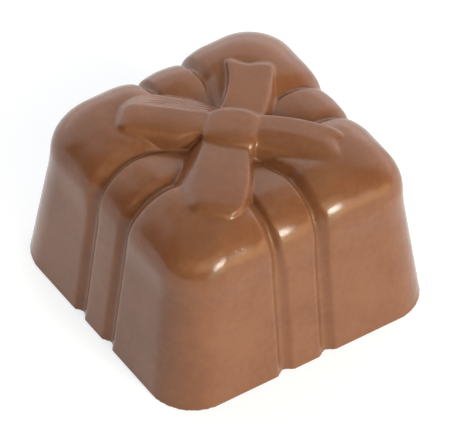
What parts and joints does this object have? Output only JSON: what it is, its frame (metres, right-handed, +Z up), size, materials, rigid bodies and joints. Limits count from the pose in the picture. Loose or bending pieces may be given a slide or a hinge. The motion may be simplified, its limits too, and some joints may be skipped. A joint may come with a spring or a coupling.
{
  "type": "chocolate praline",
  "caption": "Solid moulded milk chocolate praline in the form of a gift parcel, with ribbons in relief that cross under a flat bow on top.",
  "frame": {"origin": "centre of the flat base", "axes": "+Z up from the base, the walls face +X, +Y, -X and -Y, and the bow's knot lies across the diagonal from (-X, +Y) to (+X, -Y)"},
  "size_m": [0.028, 0.0278, 0.0187],
  "materials": {
    "chocolate": "satin milk chocolate, soft gloss on the shoulders and the bow, slightly matt on the walls"
  },
  "bodies": {
    "root": {"praline": "chocolate"}
  },
  "joints": []
}
